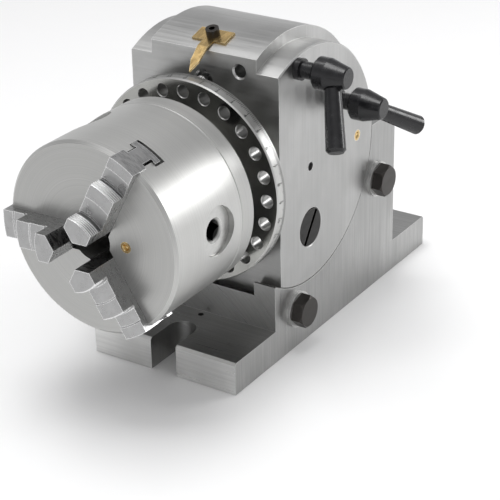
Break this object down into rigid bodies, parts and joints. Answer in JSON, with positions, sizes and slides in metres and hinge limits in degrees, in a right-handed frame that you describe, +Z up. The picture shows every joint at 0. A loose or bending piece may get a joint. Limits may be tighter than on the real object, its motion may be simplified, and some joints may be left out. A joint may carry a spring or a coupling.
{
  "type": "dividing head",
  "caption": "Tilting dividing head with worm-driven spindle, direct index plate, crank with dividing plate and a self-centring scroll chuck with stepped jaws.",
  "frame": {"origin": "on the underside of the base, straight below the point where the tilt axis crosses the spindle axis", "axes": "+Z up; the spindle axis runs along Y with the chuck towards -Y; the tilt axis runs along X with the levers on the +X side and the crank on the -X side"},
  "size_m": [0.1882, 0.2773, 0.175],
  "materials": {
    "cast_iron_ground": "ground and lightly oiled",
    "cast_iron_base": "milled and ground faces",
    "spindle_steel": "turned and ground",
    "index_plate_steel": "turned face with satin rim",
    "chuck_steel": "fine ground satin",
    "jaw_steel": "hardened and ground",
    "gear_steel": "cut and hardened",
    "black_oxide": "oil-blackened steel",
    "fastener_steel": "darkened steel",
    "bright_steel": "bright machined",
    "brass": "machined brass",
    "bronze": "bearing bronze",
    "worm_wheel_bronze": "hobbed bronze",
    "knob_black": "moulded black"
  },
  "bodies": {
    "base": {"base": "cast_iron_base", "clamp_bolts": "fastener_steel", "clamp_washers": "bright_steel", "clamp_nuts": "fastener_steel"},
    "swivel": {"swivel_housing": "cast_iron_ground", "front_bush": "bronze", "thrust_washer": "bright_steel", "rear_bush": "bronze", "worm_end_plug": "bright_steel", "sleeve_lock_screw": "black_oxide", "centre_screw": "black_oxide", "housing_oiler": "brass", "pointer": "brass", "pointer_screw": "fastener_steel", "lock_shoe": "bronze"},
    "spindle": {"spindle": "spindle_steel", "wheel_key": "bright_steel", "worm_wheel": "worm_wheel_bronze", "wheel_nut": "bright_steel", "rear_nut": "black_oxide", "direct_index_plate": "index_plate_steel", "index_plate_screws": "black_oxide", "chuck_backplate": "chuck_steel", "chuck_screws": "black_oxide", "chuck_body": "chuck_steel", "chuck_oiler": "brass", "scroll_cover": "bright_steel", "cover_screws": "fastener_steel", "pinion_pins": "fastener_steel"},
    "scroll": {"chuck_scroll": "gear_steel"},
    "jaw_1": {"chuck_jaw_1": "jaw_steel"},
    "jaw_2": {"chuck_jaw_2": "jaw_steel"},
    "jaw_3": {"chuck_jaw_3": "jaw_steel"},
    "chuck_pinion_1": {"chuck_pinion_1": "gear_steel"},
    "chuck_pinion_2": {"chuck_pinion_2": "gear_steel"},
    "chuck_pinion_3": {"chuck_pinion_3": "gear_steel"},
    "index_pin": {"index_pin": "spindle_steel"},
    "index_lever": {"index_lever_shaft": "spindle_steel", "index_lever_hub": "black_oxide", "index_lever_handle": "black_oxide"},
    "lock_lever": {"lock_lever_shaft": "spindle_steel", "lock_lever_hub": "black_oxide", "lock_lever_handle": "black_oxide"},
    "worm_carrier": {"eccentric_sleeve": "cast_iron_ground", "worm_bush": "bronze", "dividing_plate": "index_plate_steel", "plate_screws": "black_oxide", "sector_spring": "fastener_steel"},
    "worm": {"worm_shaft": "gear_steel", "crank_key": "bright_steel", "crank_arm": "black_oxide", "crank_nut": "fastener_steel", "plunger_housing": "bright_steel", "plunger_nut": "fastener_steel"},
    "plunger": {"index_plunger": "spindle_steel", "plunger_knob": "knob_black"},
    "sector_leading": {"sector_arm_leading": "bright_steel"},
    "sector_trailing": {"sector_arm_trailing": "bright_steel"}
  },
  "joints": [
    {"name": "tilt", "type": "hinge", "parent": "base", "child": "swivel", "pos_m": [0, 0, 0.1], "axis": [-1, 0, 0], "range_deg": [-10, 90]},
    {"name": "spindle_spin", "type": "hinge", "parent": "swivel", "child": "spindle", "pos_m": [0, 0, 0.1], "axis": [0, 1, 0], "continuous": true},
    {"name": "worm_disengage", "type": "hinge", "parent": "swivel", "child": "worm_carrier", "pos_m": [0, 0, 0.065], "axis": [1, 0, 0], "range_deg": [0, 100]},
    {"name": "crank_spin", "type": "hinge", "parent": "worm_carrier", "child": "worm", "pos_m": [0, 0, 0.0675], "axis": [1, 0, 0], "continuous": true},
    {"name": "plunger_slide", "type": "slide", "parent": "worm", "child": "plunger", "axis": [1, 0, 0], "range_m": [0, 0.0075], "stiffness_N_per_m": 400},
    {"name": "sector_leading_turn", "type": "hinge", "parent": "worm_carrier", "child": "sector_leading", "pos_m": [0, 0, 0.0675], "axis": [1, 0, 0], "continuous": true},
    {"name": "sector_trailing_turn", "type": "hinge", "parent": "worm_carrier", "child": "sector_trailing", "pos_m": [0, 0, 0.0675], "axis": [1, 0, 0], "continuous": true},
    {"name": "index_lever_turn", "type": "hinge", "parent": "swivel", "child": "index_lever", "pos_m": [0, -0.012, 0.1578], "axis": [-1, 0, 0], "range_deg": [0, 160]},
    {"name": "index_pin_slide", "type": "slide", "parent": "swivel", "child": "index_pin", "axis": [0, -1, 0], "range_m": [0, 0.01345]},
    {"name": "lock_lever_turn", "type": "hinge", "parent": "swivel", "child": "lock_lever", "pos_m": [0, 0.0251, 0.1291], "axis": [1, 0, 0], "range_deg": [0, 75]},
    {"name": "scroll_turn", "type": "hinge", "parent": "spindle", "child": "scroll", "pos_m": [0, 0, 0.1], "axis": [0, 1, 0], "range_deg": [-576, 504]},
    {"name": "jaw_1_slide", "type": "slide", "parent": "spindle", "child": "jaw_1", "axis": [0.4695, 0, 0.8829], "range_m": [-0.0071, 0.0081]},
    {"name": "jaw_2_slide", "type": "slide", "parent": "spindle", "child": "jaw_2", "axis": [0.5299, 0, -0.848], "range_m": [-0.0071, 0.0081]},
    {"name": "jaw_3_slide", "type": "slide", "parent": "spindle", "child": "jaw_3", "axis": [-0.9994, 0, -0.0349], "range_m": [-0.0071, 0.0081]},
    {"name": "pinion_1_turn", "type": "hinge", "parent": "spindle", "child": "chuck_pinion_1", "pos_m": [0, -0.0923, 0.1], "axis": [0.9994, 0, 0.0349], "range_deg": [-2020, 2020]},
    {"name": "pinion_2_turn", "type": "hinge", "parent": "spindle", "child": "chuck_pinion_2", "pos_m": [0, -0.0923, 0.1], "axis": [-0.4695, 0, -0.8829], "range_deg": [-2020, 2020]},
    {"name": "pinion_3_turn", "type": "hinge", "parent": "spindle", "child": "chuck_pinion_3", "pos_m": [0, -0.0923, 0.1], "axis": [-0.5299, 0, 0.848], "range_deg": [-2020, 2020]}
  ],
  "couplings": [
    {"joint": "crank_spin", "follows": "spindle_spin", "ratio": 40},
    {"joint": "index_pin_slide", "follows": "index_lever_turn", "m_per_rad": 0.0048},
    {"joint": "jaw_1_slide", "follows": "scroll_turn", "m_per_rad": -0.00079577},
    {"joint": "jaw_2_slide", "follows": "scroll_turn", "m_per_rad": -0.00079577},
    {"joint": "jaw_3_slide", "follows": "scroll_turn", "m_per_rad": -0.00079577},
    {"joint": "pinion_1_turn", "follows": "scroll_turn", "ratio": 3.5},
    {"joint": "pinion_2_turn", "follows": "scroll_turn", "ratio": 3.5},
    {"joint": "pinion_3_turn", "follows": "scroll_turn", "ratio": 3.5}
  ]
}
